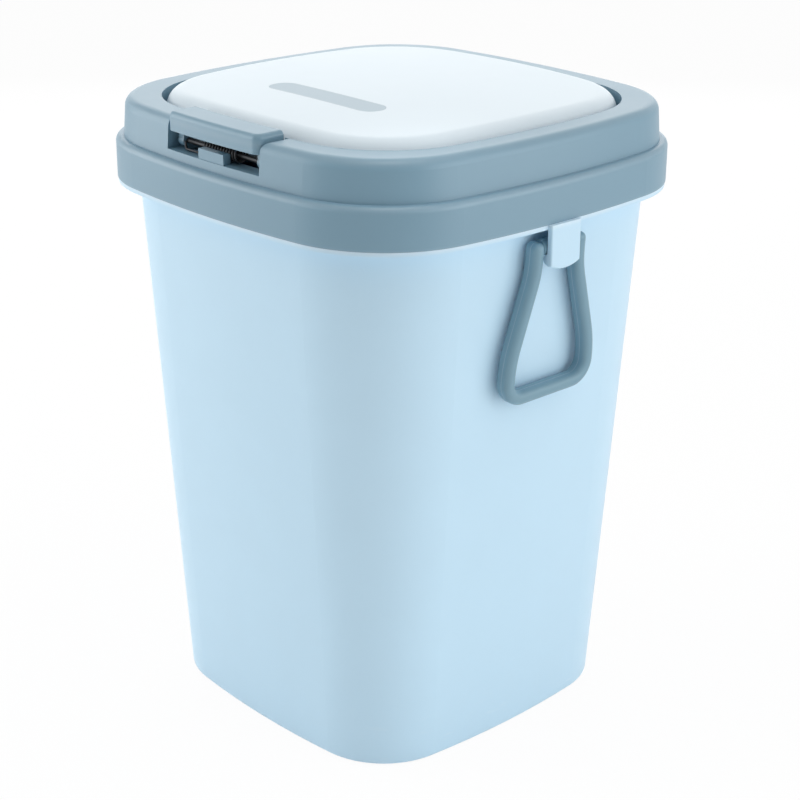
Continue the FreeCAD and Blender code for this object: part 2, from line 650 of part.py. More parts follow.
def pill_prism(label, growth):
    """Upright prism of the badge's outline, grown by a margin."""
    body = new_body(label)
    sketch = new_sketch(body, f"{label}_outline", "XY_Plane", "at.flap_low")
    half_length = number("dim.badge_length") / 2
    half_width = number("dim.badge_width") / 2
    middle = -number("at.badge_y")
    straight = half_length - half_width
    right = add_arc(sketch, (straight, middle), half_width, -math.pi / 2, math.pi / 2)
    back = sketch.addGeometry(Part.LineSegment(FreeCAD.Vector(straight, middle + half_width, 0),
                                               FreeCAD.Vector(-straight, middle + half_width, 0)), False)
    left = add_arc(sketch, (-straight, middle), half_width, math.pi / 2, 3 * math.pi / 2)
    front = sketch.addGeometry(Part.LineSegment(FreeCAD.Vector(-straight, middle - half_width, 0),
                                                FreeCAD.Vector(straight, middle - half_width, 0)), False)
    loop = [right, back, left, front]
    for here, following in zip(loop, loop[1:] + loop[:1]):
        sketch.addConstraint(Sketcher.Constraint("Tangent", here, 2, following, 1))
    sketch.addConstraint(Sketcher.Constraint("Horizontal", back))
    sketch.addConstraint(Sketcher.Constraint("Symmetric", right, 3, left, 3, -2))
    bind(sketch, Sketcher.Constraint("Radius", right, half_width), f"dim.badge_width / 2 + {growth}")
    bind(sketch, Sketcher.Constraint("DistanceX", -1, 1, right, 3, straight),
         "(dim.badge_length - dim.badge_width) / 2")
    bind(sketch, Sketcher.Constraint("DistanceY", right, 3, -1, 1, -middle), "at.badge_y")
    extrude(body, "Pad", f"{label}_pad", sketch, "at.flap_blank")
    return body


def dome_ball(name, radius):
    """Ball whose top is the flap's crown, or lies under it."""
    ball = doc.addObject("Part::Sphere", name)
    ball.setExpression("Radius", radius)
    ball.setExpression("Placement.Base.z", "at.dome_low")
    return ball


def boolean(kind, label, base, tool):
    """Cut or common of two objects."""
    result = doc.addObject(f"Part::{kind}", label)
    result.Base = base
    result.Tool = tool
    result.Label = label
    doc.recompute()
    return result


def flap_solid(label, low, half, top, radius, edge_z, rounding):
    """Crowned block with a rounded upper edge, for the flap's outside or its hollow."""
    body = new_body(label)
    outline = plan_sketch(body, f"{label}_outline", low, "flap", half)
    extrude(body, "Pad", f"{label}_blank", outline, "at.flap_blank")
    above = new_sketch(body, f"{label}_dome_section", "XZ_Plane")
    add_path(above,
             [("", top), ("at.dome_reach", edge_z), ("at.dome_reach", "at.dome_over"), ("", "at.dome_over")],
             {0: (radius, -1)})
    dome = body.newObject("PartDesign::Groove", f"{label}_dome")
    dome.Profile = above
    dome.ReferenceAxis = (above, ["V_Axis"])
    doc.recompute()
    fillet(body, f"{label}_edge", rounding,
           lambda edge: edge.BoundBox.ZMin > number("at.ring_top") - number("dim.flap_round")
           and edge.BoundBox.DiagonalLength > number("dim.flap_round"))
    return body


def make_flap_cover():
    """Crowned shell with a striker on its front and a shallow recess for the badge."""
    outside = flap_solid("flap_outside", "at.flap_low", "at.flap_half", "at.flap_top", "dim.dome_radius",
                         "at.dome_edge", "dim.flap_round")
    block(outside, "Additive", "striker",
          ("-dim.striker_width / 2", "-at.flap_half - dim.striker_reach",
           "at.striker_top - dim.striker_thick"),
          ("dim.striker_width / 2", "dim.flap_wall / 2 - at.flap_half", "at.striker_top"))
    core = flap_solid("flap_core", "at.core_low", "at.core_half", "at.core_top", "at.core_radius",
                      "at.core_edge", "at.core_round")
    shell = boolean("Cut", "flap_shell", outside, core)
    floor_ball = dome_ball("recess_floor", "dim.dome_radius - dim.badge_depth")
    recess = boolean("Cut", "badge_recess", pill_prism("recess_prism", "dim.badge_gap"), floor_ball)
    return boolean("Cut", "flap_cover", shell, recess)


def make_badge():
    """Thin pill-shaped inlay that follows the crown."""
    raised = boolean("Common", "badge_blank", pill_prism("badge_prism", "0"),
                     dome_ball("badge_face", "dim.dome_radius"))
    return boolean("Cut", "badge_plate", raised,
                   dome_ball("badge_floor", "dim.dome_radius - dim.badge_depth + dim.pin_clearance"))


def make_flap_liner():
    """Inner pan of the flap with two goose-neck hinge arms."""
    body = new_body("flap_liner")
    outline = plan_sketch(body, "liner_outline", "at.liner_low", "flap", "at.liner_half")
    extrude(body, "Pad", "pan", outline, "dim.liner_thick")
    arms = {"right": ("dim.arm_place", "at.arm_out"), "left": ("-at.arm_out", "-dim.arm_place")}
    for side, (start, end) in arms.items():
        block(body, "Additive", f"{side}_post", (start, "at.post_back - dim.arm_thick", "at.arm_low"),
              (end, "at.post_back", "at.liner_low + dim.join_depth"))
        block(body, "Additive", f"{side}_run", (start, "at.post_back - dim.arm_thick", "at.arm_low"),
              (end, "at.hinge_y + dim.arm_thick / 2", "at.arm_top"))
        block(body, "Additive", f"{side}_neck", (start, "at.hinge_y - dim.arm_thick / 2", "at.arm_low"),
              (end, "at.hinge_y + dim.arm_thick / 2", "at.hinge_z"))
        round_bar(body, "Additive", f"{side}_knuckle", ALONG_X, "dim.knuckle_radius",
                  (start, "at.hinge_y", "at.hinge_z"), "dim.arm_width")
    round_bar(body, "Subtractive", "knuckle_bore", ALONG_X, "dim.hinge_pin_radius + dim.pin_clearance",
              ("-at.hinge_rod_half", "at.hinge_y", "at.hinge_z"), "2 * at.hinge_rod_half")
    return body


def make_pin(label, radius, half, y, z):
    """Plain steel pin along X."""
    pin = doc.addObject("Part::Cylinder", label)
    pin.Label = label
    pin.Placement = FreeCAD.Placement(FreeCAD.Vector(0, 0, 0), ALONG_X)
    pin.setExpression("Radius", radius)
    pin.setExpression("Height", f"2 * ({half})")
    for axis, place in zip("xyz", (f"-({half})", y, z)):
        pin.setExpression(f"Placement.Base.{axis}", place)
    doc.recompute()
    return pin


def make_handle(side, sign):
    """Carry loop of two curved legs and a foot, which hangs from its hook by a round bar."""
    body = new_body(f"{side}_handle")
    path = new_sketch(body, f"{side}_loop_path", "YZ_Plane", f"{sign}at.loop_x")
    half = number("at.loop_half")
    crest = number("at.loop_crest_z")
    low = number("at.loop_low")
    foot = number("dim.loop_foot_half")
    leg_bend = number("at.leg_bend")
    leg_turn = number("at.leg_turn")
    foot_bend = number("dim.loop_foot_bend")
    neck_end = crest - number("dim.loop_neck")
    bend_centre = (half + leg_bend, neck_end)
    turn_centre = (foot - leg_turn, low + foot_bend)
    foot_centre = (foot - foot_bend, low + foot_bend)
    across = bend_centre[0] - turn_centre[0]
    down = bend_centre[1] - turn_centre[1]
    splay = math.atan2(down, across) - math.acos((leg_bend + leg_turn) / math.hypot(across, down))
    leg_start = (bend_centre[0] - leg_bend * math.cos(splay), bend_centre[1] - leg_bend * math.sin(splay))
    leg_end = (turn_centre[0] + leg_turn * math.cos(splay), turn_centre[1] + leg_turn * math.sin(splay))

    def line(start, end):
        return sketch_line(path, start, end)

    quarter = math.pi / 2
    left = [
        line((-half, crest), (-half, neck_end)),
        add_arc(path, (-bend_centre[0], neck_end), leg_bend, -splay, 0),
        line((-leg_start[0], leg_start[1]), (-leg_end[0], leg_end[1])),
        add_arc(path, (-turn_centre[0], turn_centre[1]), leg_turn, math.pi - splay, math.pi),
        add_arc(path, (-foot_centre[0], foot_centre[1]), foot_bend, math.pi, math.pi + quarter),
    ]
    foot_bar = line((-foot_centre[0], low), (foot_centre[0], low))
    right = [
        add_arc(path, foot_centre, foot_bend, -quarter, 0),
        add_arc(path, turn_centre, leg_turn, 0, splay),
        line(leg_end, leg_start),
        add_arc(path, bend_centre, leg_bend, math.pi, math.pi + splay),
        line((half, neck_end), (half, crest)),
    ]
    loop = left + [foot_bar] + right
    backwards = {left[1], right[3]}
    for here, following in zip(loop, loop[1:]):
        path.addConstraint(Sketcher.Constraint("Tangent", here, 1 if here in backwards else 2,
                                               following, 2 if following in backwards else 1))
    path.addConstraint(Sketcher.Constraint("Horizontal", foot_bar))
    for turn, bend in ((left[3], left[4]), (right[1], right[0])):
        path.addConstraint(Sketcher.Constraint("Horizontal", turn, 3, bend, 3))
    for neck in (left[0], right[4]):
        path.addConstraint(Sketcher.Constraint("Vertical", neck))
        bind(path, Sketcher.Constraint("Distance", neck, number("dim.loop_neck")), "dim.loop_neck")
    bends = (
        (left[1], right[3], "at.leg_bend"),
        (left[3], right[1], "at.leg_turn"),
        (left[4], right[0], "dim.loop_foot_bend"),
    )
    for first, second, size in bends:
        bind(path, Sketcher.Constraint("Radius", first, number(size)), size)
        path.addConstraint(Sketcher.Constraint("Equal", first, second))
    bind(path, Sketcher.Constraint("DistanceY", -1, 1, left[0], 1, crest), "at.loop_crest_z")
    bind(path, Sketcher.Constraint("DistanceY", -1, 1, right[4], 2, crest), "at.loop_crest_z")
    bind(path, Sketcher.Constraint("DistanceY", -1, 1, foot_bar, 1, low), "at.loop_low")
    bind(path, Sketcher.Constraint("DistanceX", -1, 1, right[4], 1, half), "at.loop_half")
    bind(path, Sketcher.Constraint("DistanceX", left[0], 1, -1, 1, half), "at.loop_half")
    inset = "dim.loop_foot_half - dim.loop_foot_bend"
    bind(path, Sketcher.Constraint("DistanceX", -1, 1, right[0], 3, foot_centre[0]), inset)
    bind(path, Sketcher.Constraint("DistanceX", left[4], 3, -1, 1, foot_centre[0]), inset)

    section = new_sketch(body, f"{side}_loop_section", "XY_Plane", "at.loop_crest_z")
    spans = {"right": ("at.loop_x_low", "at.loop_x_high"), "left": ("-at.loop_x_high", "-at.loop_x_low")}
    start, end = spans[side]
    add_path(section, [(start, "at.loop_y_low"), (end, "at.loop_y_low"), (end, "at.loop_y_high"),
                       (start, "at.loop_y_high")])
    pipe = body.newObject("PartDesign::AdditivePipe", f"{side}_loop")
    pipe.Profile = section
    pipe.Spine = path
    doc.recompute()
    fillet(body, f"{side}_loop_edge", "dim.loop_section_round", lambda edge: True)
    round_bar(body, "Additive", f"{side}_journal", ALONG_Y, "dim.loop_journal",
              (f"{sign}at.loop_x", "-at.journal_half", "at.loop_top"), "2 * at.journal_half")
    lean = f"{sign}atan(at.wall_slope)"
    body.Placement = FreeCAD.Placement(FreeCAD.Vector(), FreeCAD.Rotation(FreeCAD.Vector(0, 1, 0), 0))
    body.setExpression("Placement.Rotation.Angle", lean)
    body.setExpression("Placement.Base.x", f"{sign}at.loop_x * (1 - cos({lean})) - at.loop_top * sin({lean})")
    body.setExpression("Placement.Base.z", f"{sign}at.loop_x * sin({lean}) + at.loop_top * (1 - cos({lean}))")
    doc.recompute()
    return body


def sketch_line(sketch, start, end):
    """Straight line between two points of a sketch."""
    return sketch.addGeometry(Part.LineSegment(FreeCAD.Vector(*start, 0), FreeCAD.Vector(*end, 0)), False)


def arc_edge(start, corner, end):
    """Circular arc that leaves start and reaches end along lines that meet at an even corner."""
    first = (corner - start).normalize()
    last = (end - corner).normalize()
    weight = math.sqrt((1 + first.dot(last)) / 2)
    middle = (start + corner * (2 * weight) + end) * (1 / (2 + 2 * weight))
    return Part.Arc(start, middle, end).toShape()


def biarc(start, start_way, end, end_way):
    """Two arcs that join two points smoothly along given directions."""
    span = end - start
    both = start_way + end_way
    bend = 2 * (1 - start_way.dot(end_way))
    along = span.dot(both)
    reach = (math.sqrt(along * along + bend * span.dot(span)) - along) / bend
    first = start + start_way * reach
    last = end - end_way * reach
    joint = (first + last) * 0.5
    return [arc_edge(start, first, joint), arc_edge(joint, last, end)]


def coil_edges(y, z, radius, pitch, turns, start_x, start_angle):
    """Helix along +X as biarcs of a quarter turn, with its end points and directions."""
    steps = round(turns * 4)
    places = []
    for step in range(steps + 1):
        angle = start_angle + step * math.pi / 2
        place = FreeCAD.Vector(start_x + pitch * step / 4, y + radius * math.cos(angle),
                               z + radius * math.sin(angle))
        way = FreeCAD.Vector(pitch / (2 * math.pi), -radius * math.sin(angle), radius * math.cos(angle))
        places.append((place, way.normalize()))
    edges = []
    for (here, here_way), (there, there_way) in zip(places, places[1:]):
        edges += biarc(here, here_way, there, there_way)
    return edges, places[0], places[-1]


def bent_edges(points, bend):
    """Straight runs through points, with an arc of one radius at each inner corner."""
    edges = []
    place = points[0]
    for corner, following in zip(points[1:-1], points[2:]):
        arrive = (corner - place).normalize()
        leave = (following - corner).normalize()
        cut = bend * math.tan(arrive.getAngle(leave) / 2)
        edges.append(Part.LineSegment(place, corner - arrive * cut).toShape())
        edges.append(arc_edge(corner - arrive * cut, corner, corner + leave * cut))
        place = corner + leave * cut
    edges.append(Part.LineSegment(place, points[-1]).toShape())
    return edges


def wire_spring(label, edges, wire_radius):
    """Round wire along a smooth path; prints its least gap to itself."""
    path = Part.Wire(edges)
    start = path.Edges[0].valueAt(path.Edges[0].FirstParameter)
    way = path.Edges[0].tangentAt(path.Edges[0].FirstParameter)
    section = Part.Wire([Part.Circle(start, way, wire_radius).toShape()])
    spring = doc.addObject("Part::Feature", label)
    spring.Label = label
    spring.Shape = path.makePipeShell([section], True, False)
    spring.Placement = FreeCAD.Placement()
    expected = math.pi * wire_radius ** 2 * path.Length
    print(label, "least gap to itself", round(least_gap(path, wire_radius), 3),
          "volume share", round(spring.Shape.Volume / expected, 4))
    return spring


def least_gap(path, wire_radius):
    """Least clear distance between stretches of a wire that aren't neighbours along it."""
    spacing = wire_radius / 2
    points = path.discretize(Distance=spacing)
    apart = math.ceil(2 * math.pi * wire_radius / spacing)
    nearest = min((points[first] - points[second]).Length
                  for first in range(len(points)) for second in range(first + apart, len(points)))
    return nearest - 2 * wire_radius


def make_button_spring():
    """Torsion spring behind the sill lug: one leg hooked up behind the front, one under the cap."""
    coil, (start, start_way), (end, end_way) = coil_edges(
        -number("at.pivot_y"), number("at.pivot_z"), number("dim.button_coil_radius"),
        number("dim.button_coil_pitch"), number("dim.button_coil_turns"), -number("at.button_coil_half"),
        -math.pi / 2)
    corner = start - start_way * number("dim.button_leg_reach")
    side = corner - FreeCAD.Vector(number("dim.button_leg_run"), 0, 0)
    tip = side + FreeCAD.Vector(0, 0, number("dim.button_leg_tip"))
    ring_leg = bent_edges([tip, side, corner, start], number("dim.button_leg_bend"))
    rise = number("at.button_inner_top") - number("dim.seat_gap") - end.z
    cap_leg = Part.LineSegment(end, end + end_way * (rise / end_way.z)).toShape()
    return wire_spring("button_spring", ring_leg + coil + [cap_leg], number("dim.button_wire_radius"))


def make_flap_springs():
    """Pair of torsion springs on the hinge rod: one leg on the ring's back wall, one under the flap."""
    radius = number("dim.flap_wire_radius")
    coil, (start, start_way), (end, end_way) = coil_edges(
        number("at.hinge_y"), number("at.hinge_z"), number("dim.flap_coil_radius"),
        number("dim.flap_coil_pitch"), number("dim.flap_coil_turns"), number("dim.flap_coil_place"), 0)
    wall_leg = Part.LineSegment(start - start_way * number("dim.flap_leg_drop"), start).toShape()
    fall = end.z - number("at.flap_leg_z")
    corner = end + end_way * (fall / -end_way.z)
    contact = number("at.liner_low") - number("dim.seat_gap") - radius
    tip = FreeCAD.Vector(corner.x, corner.y - number("dim.flap_leg_run"), contact)
    flap_leg = bent_edges([end, corner, tip], number("dim.flap_leg_bend"))
    right = wire_spring("flap_spring_right", [wall_leg] + coil + flap_leg, radius)
    left = doc.addObject("Part::Feature", "flap_spring_left")
    left.Label = "flap_spring_left"
    left.Shape = right.Shape.mirror(FreeCAD.Vector(0, 0, 0), FreeCAD.Vector(1, 0, 0))
    left.Placement = FreeCAD.Placement()
    return [right, left]


pieces = [
    make_bucket(),
    make_ring(),
    make_button(),
    make_flap_cover(),
    make_flap_liner(),
    make_badge(),
    make_pin("hinge_rod", "dim.hinge_pin_radius", "at.hinge_rod_half", "at.hinge_y", "at.hinge_z"),
    make_pin("button_pin", "dim.button_pin_radius", "at.button_pin_half", "-at.pivot_y", "at.pivot_z"),
    make_button_spring(),
]
pieces += make_flap_springs()
pieces += [make_handle(side, sign) for side, sign in SIDES]

doc.recompute()
for item in doc.Objects:
    if "Invalid" in item.State or "Error" in item.State:
        raise RuntimeError(f"{item.Label} failed to compute")
for piece in pieces:
    if piece.Shape.isNull() or not piece.Shape.isValid():
        raise RuntimeError(f"{piece.Label} has no sound shape")
os.makedirs("parts", exist_ok=True)
for piece in pieces:
    piece.Shape.exportStep(f"parts/{piece.Label}.step")
    print(piece.Label, len(piece.Shape.Solids), "solid", round(piece.Shape.Volume), "mm3")
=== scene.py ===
import json
import math

import bmesh
import bpy
from bpy.props import FloatProperty, FloatVectorProperty, IntProperty, PointerProperty
from mathutils import Matrix, Vector


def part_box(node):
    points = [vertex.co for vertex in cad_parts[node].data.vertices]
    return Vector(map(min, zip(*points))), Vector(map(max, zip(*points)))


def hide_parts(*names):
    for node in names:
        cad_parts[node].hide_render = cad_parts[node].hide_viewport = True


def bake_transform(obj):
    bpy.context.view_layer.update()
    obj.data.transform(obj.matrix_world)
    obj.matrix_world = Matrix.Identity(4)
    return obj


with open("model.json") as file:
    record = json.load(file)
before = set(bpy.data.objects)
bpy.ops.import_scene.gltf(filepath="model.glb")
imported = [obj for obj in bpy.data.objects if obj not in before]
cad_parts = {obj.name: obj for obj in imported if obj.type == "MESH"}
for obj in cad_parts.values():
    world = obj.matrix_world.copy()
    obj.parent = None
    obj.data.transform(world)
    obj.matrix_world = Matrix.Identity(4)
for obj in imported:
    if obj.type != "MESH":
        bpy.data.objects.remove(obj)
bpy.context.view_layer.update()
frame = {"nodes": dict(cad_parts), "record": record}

bl_info = {
    "name": "Press-button kitchen bin",
    "version": (1, 0, 0),
    "blender": (4, 5, 0),
    "location": "View3D > Sidebar > Bin",
    "description": "Dresses the square kitchen bin with its plastics, springs and studio stage",
    "category": "Object",
}

MM = 0.001
WALL_DRAFT = 16.8 * MM
WALL_HEIGHT = 266.0 * MM
QUARTER = math.pi / 2
ALONG_X = Vector((1.0, 0.0, 0.0))
ALONG_Y = Vector((0.0, 1.0, 0.0))
UP = Vector((0.0, 0.0, 1.0))


# Settings

class BinFinishes(bpy.types.PropertyGroup):
    bucket: FloatVectorProperty(
        name="Bucket", description="Pale blue of the bucket", subtype="COLOR", size=3,
        default=(0.585, 0.81, 0.965), min=0, max=1)
    ring: FloatVectorProperty(
        name="Lid ring", description="Grey blue of the lid ring and the button", subtype="COLOR", size=3,
        default=(0.187, 0.33, 0.427), min=0, max=1)
    flap: FloatVectorProperty(
        name="Flap", description="Cool white of the flap", subtype="COLOR", size=3,
        default=(0.785, 0.885, 0.947), min=0, max=1)
    badge: FloatVectorProperty(
        name="Badge", description="Light grey of the bare badge", subtype="COLOR", size=3,
        default=(0.545, 0.655, 0.725), min=0, max=1)
    loop: FloatVectorProperty(
        name="Carry loops", description="Grey blue of the carry loops", subtype="COLOR", size=3,
        default=(0.189, 0.334, 0.42), min=0, max=1)
    # Painted shade: near black so that the springs and rods show as dark as the shaded window around them.
    steel: FloatVectorProperty(
        name="Spring steel", description="Colour of the springs and rods", subtype="COLOR", size=3,
        default=(0.06, 0.062, 0.065), min=0, max=1)


class BinEdges(bpy.types.PropertyGroup):
    base_scuff: FloatProperty(
        name="Base scuff", description="How far scuffs reach up from the base", unit="LENGTH",
        default=40 * MM)
    # Painted highlight: height of the paler band that stands for light on the bucket's flange.
    flange_highlight_height: FloatProperty(
        name="Rim edge", description="Height of the rubbed edge of the bucket's flange", unit="LENGTH",
        default=5 * MM)
    step_height: FloatProperty(
        name="Step height", description="Height of the ring's step over the ring's lower edge",
        unit="LENGTH", default=19.6 * MM)
    edge_width: FloatProperty(
        name="Edge width", description="Width of a rubbed edge", unit="LENGTH", default=5 * MM)
    seam_width: FloatProperty(
        name="Seam width", description="Width of the moulding seam on the loops", unit="LENGTH",
        default=0.6 * MM)
    seam_back: FloatProperty(
        name="Seam place", description="From the loop's pivot line to the moulding seam", unit="LENGTH",
        default=0.6 * MM)
    loop_lean: FloatProperty(
        name="Loop lean", description="How far the loops lean in along the wall", subtype="ANGLE",
        default=math.atan2(WALL_DRAFT, WALL_HEIGHT))


class BinSprings(bpy.types.PropertyGroup):
    button_coil: FloatProperty(
        name="Button coil radius", description="Radius of the button spring at the wire's middle",
        unit="LENGTH", default=3.0 * MM)
    button_wire: FloatProperty(
        name="Button wire radius", description="Radius of the button spring's wire", unit="LENGTH",
        default=0.5 * MM)
    button_pitch: FloatProperty(
        name="Button coil pitch", description="Length of one turn of the button spring", unit="LENGTH",
        default=2.0 * MM)
    button_turns: FloatProperty(
        name="Button coil turns", description="Turns of the button spring", default=12.25)
    button_bend: FloatProperty(
        name="Button leg bend", description="Bend radius of the button spring's fixed leg", unit="LENGTH",
        default=1.4 * MM)
    button_reach: FloatProperty(
        name="Button leg reach", description="How far the fixed leg runs to the front", unit="LENGTH",
        default=3.4 * MM)
    button_run: FloatProperty(
        name="Button leg run", description="How far the fixed leg runs along the sill", unit="LENGTH",
        default=12.0 * MM)
    button_tip: FloatProperty(
        name="Button leg tip", description="Height of the fixed leg's upturned end", unit="LENGTH",
        default=3.6 * MM)
    button_rise: FloatProperty(
        name="Button leg rise", description="From the coil's axis to the end of the moving leg",
        unit="LENGTH", default=11.6 * MM)
    flap_coil: FloatProperty(
        name="Flap coil radius", description="Radius of the flap springs at the wire's middle",
        unit="LENGTH", default=2.2 * MM)
    flap_wire: FloatProperty(
        name="Flap wire radius", description="Radius of the flap springs' wire", unit="LENGTH",
        default=0.45 * MM)
    flap_pitch: FloatProperty(
        name="Flap coil pitch", description="Length of one turn of a flap spring", unit="LENGTH",
        default=1.8 * MM)
    flap_turns: FloatProperty(
        name="Flap coil turns", description="Turns of a flap spring", default=7.5)
    flap_start: FloatProperty(
        name="Flap coil start", description="From the middle of the bin to a flap spring", unit="LENGTH",
        default=3.4 * MM)
    flap_drop: FloatProperty(
        name="Flap leg drop", description="Length of the fixed leg of a flap spring", unit="LENGTH",
        default=8.0 * MM)
    flap_low: FloatProperty(
        name="Flap leg corner", description="From the coil's axis down to the moving leg's corner",
        unit="LENGTH", default=12.5 * MM)
    flap_bend: FloatProperty(
        name="Flap leg bend", description="Bend radius of the moving leg", unit="LENGTH", default=2.0 * MM)
    flap_run: FloatProperty(
        name="Flap leg run", description="How far the moving leg runs under the flap", unit="LENGTH",
        default=18.0 * MM)
    flap_lift: FloatProperty(
        name="Flap leg lift", description="How far the moving leg rises along its run", unit="LENGTH",
        default=4.25 * MM)
    sides: IntProperty(name="Wire sides", description="Faces round the wire", default=12, min=6)
    steps: IntProperty(name="Coil steps", description="Steps of one turn", default=32, min=12)
    button_bend_steps: IntProperty(
        name="Button bend steps", description="Steps of a bend of the button spring's leg", default=6, min=2)
    flap_bend_steps: IntProperty(
        name="Flap bend steps", description="Steps of the bend of a flap spring's leg", default=10, min=2)


class BinStage(bpy.types.PropertyGroup):
    azimuth: FloatProperty(
        name="Azimuth", description="Where the camera stands round the bin", subtype="ANGLE",
        default=math.radians(47.3))
    elevation: FloatProperty(
        name="Elevation", description="How far the camera stands above the horizon", subtype="ANGLE",
        default=math.radians(21.62))
    roll: FloatProperty(
        name="Roll", description="Tilt of the camera about its own axis", subtype="ANGLE",
        default=math.radians(0.22))
    distance: FloatProperty(
        name="Distance", description="From the camera to the middle of the bin", unit="LENGTH",
        default=0.9608)
    target: FloatProperty(
        name="Target height", description="Height that the camera looks at", unit="LENGTH", default=0.14987)
    lens: FloatProperty(name="Lens", description="Focal length in millimetres", default=85.2)
    shift_x: FloatProperty(name="Shift X", description="Sideways shift of the frame", default=0.0125)
    shift_y: FloatProperty(name="Shift Y", description="Upward shift of the frame", default=-0.0008)
    light_distance: FloatProperty(
        name="Softbox distance", description="From the middle of the bin to the softboxes", unit="LENGTH",
        default=1.3)
    left_light: FloatProperty(
        name="Left softbox", description="Power of the left light", unit="POWER", default=8.9)
    right_light: FloatProperty(
        name="Right softbox", description="Power of the right light", unit="POWER", default=7.6)
    back_light: FloatProperty(
        name="Back softbox", description="Power of the light behind the bin", unit="POWER", default=4.9)
    floor_light: FloatProperty(
        name="Floor light", description="Power of the light over the floor at the front", unit="POWER",
        default=0.5)
    floor_light_reach: FloatProperty(
        name="Floor light reach", description="From the bin's axis to the floor light", unit="LENGTH",
        default=0.65)
    floor_light_height: FloatProperty(
        name="Floor light height", description="Height of the floor light", unit="LENGTH", default=0.45)
    floor_light_size: FloatProperty(
        name="Floor light size", description="Side of the floor light", unit="LENGTH", default=0.8)
    floor_light_spread: FloatProperty(
        name="Floor light spread", description="Angle that the floor light spreads over", subtype="ANGLE",
        default=math.radians(50.0))
    floor_radius: FloatProperty(
        name="Floor radius", description="Radius of the floor", unit="LENGTH", default=6.0)
    floor_sides: IntProperty(
        name="Floor sides", description="Corners round the floor", default=64, min=3)
    floor_white: FloatProperty(
        name="Floor whiteness", description="Share of the floor that shows as plain white", default=0.94,
        min=0, max=1)
    ceiling_glow: FloatProperty(
        name="Ceiling glow", description="Light of the room's ceiling", default=1.05)
    ceiling_start: FloatProperty(
        name="Ceiling start", description="Rise of the direction where the ceiling's light begins",
        default=0.3)
    ceiling_full: FloatProperty(
        name="Ceiling full", description="Rise of the direction where the ceiling's light is full",
        default=0.9)


# Materials

class Value:
    """A number that varies over a surface: arithmetic on it adds Math nodes."""

    def __init__(self, shading, socket):
        self.shading = shading
        self.socket = socket

    def math(self, operation, *others):
        operands = dict(enumerate((self,) + others))
        return self.shading.node("ShaderNodeMath", {"operation": operation}, operands)["Value"]

    def __add__(self, other):
        return self.math("ADD", other)

    def __sub__(self, other):
        return self.math("SUBTRACT", other)

    def __mul__(self, other):
        return self.math("MULTIPLY", other)

    def __rsub__(self, other):
        return self * -1.0 + other

    def __abs__(self):
        return self.math("ABSOLUTE")

    __radd__ = __add__
    __rmul__ = __mul__

    def ramp(self, start, end):
        """Smooth rise from 0 at start to 1 at end, where end may lie below start."""
        settings = {"interpolation_type": "SMOOTHSTEP"}
        limits = {"Value": self, "From Min": min(start, end), "From Max": max(start, end)}
        rise = self.shading.node("ShaderNodeMapRange", settings, limits)["Result"]
        return 1.0 - rise if start > end else rise

    def band(self, centre, width):
        """1 at a centre value, falling smoothly to 0 at half a width to each side."""
        return abs(self - centre).ramp(width / 2, 0.0)


class Outputs:
    """Output sockets of a node as values."""

    def __init__(self, shading, node):
        self.shading = shading
        self.node = node

    def __getitem__(self, name):
        return Value(self.shading, self.node.outputs[name])


class Shading:
    """A node tree under construction."""

    def __init__(self, owner):
        owner.use_nodes = True
        self.tree = owner.node_tree
        self.tree.nodes.clear()

    def node(self, kind, settings=None, inputs=None):
        """Adds a node: its settings first, then the values or links of its sockets."""
        node = self.tree.nodes.new(kind)
        for name, value in (settings or {}).items():
            setattr(node, name, value)
        for name, value in (inputs or {}).items():
            self.feed(node.inputs[name], value)
        return Outputs(self, node)

    def feed(self, socket, value):
        if isinstance(value, Value):
            self.tree.links.new(value.socket, socket)
        else:
            socket.default_value = value


class Finish(Shading):
    """One material around a Principled shader, laid out in the object's own space."""

    def __init__(self, name, **constants):
        self.material = bpy.data.materials.new(name)
        super().__init__(self.material)
        self.shader = self.node("ShaderNodeBsdfPrincipled")
        self.output = self.node("ShaderNodeOutputMaterial", inputs={"Surface": self.shader["BSDF"]})
        self.place = self.node("ShaderNodeTexCoord")["Object"]
        axes = self.node("ShaderNodeSeparateXYZ", inputs={"Vector": self.place})
        self.x, self.y, self.z = axes["X"], axes["Y"], axes["Z"]
        self.surface(**constants)

    def surface(self, **values):
        """Sets or links sockets of the shader, named with underscores for spaces."""
        for name, value in values.items():
            self.feed(self.shader.node.inputs[name.replace("_", " ")], value)

    def noise(self, scale, detail=2.0, stretch=(1.0, 1.0, 1.0)):
        """Even noise from 0 to 1, with so many features to the metre along each axis."""
        mapping = self.node("ShaderNodeMapping", inputs={"Vector": self.place, "Scale": stretch})
        inputs = {"Vector": mapping["Vector"], "Scale": scale, "Detail": detail}
        return self.node("ShaderNodeTexNoise", inputs=inputs)["Fac"]

    def mix(self, share, first, second):
        """Colour between two colours."""
        return self.node("ShaderNodeMix", {"data_type": "RGBA"}, {0: share, 6: first, 7: second})[2]

    def bump(self, height, strength, distance):
        inputs = {"Height": height, "Strength": strength, "Distance": distance}
        self.surface(Normal=self.node("ShaderNodeBump", inputs=inputs)["Normal"])


def tint(colour, share):
    """A colour made lighter or darker by a share, as RGBA."""
    return tuple(min(1.0, part * share) for part in colour) + (1.0,)


def pale(colour, share):
    """A colour moved towards white by a share, as RGBA."""
    return tuple(part + (1.0 - part) * share for part in colour) + (1.0,)


FLOW_SCALE = 9.0
FLOW_DETAIL = 3.0
FLOW_STRETCH = (1.0, 1.0, 0.25)
FLOW_SHARE = 0.6
CLOUD_SCALE = 42.0
DARK_SHADE = 0.965
LIGHT_SHADE = 1.03
RUB_SCALE = 160.0
RUB_DETAIL = 3.0
RUB_LEAST = 0.3
FLOW_DULLING = 0.08
CLOUD_DULLING = 0.05
RUB_POLISH = 0.08
MEAN_DULLING = 0.06
GRAIN_HEIGHT = 0.2 * MM


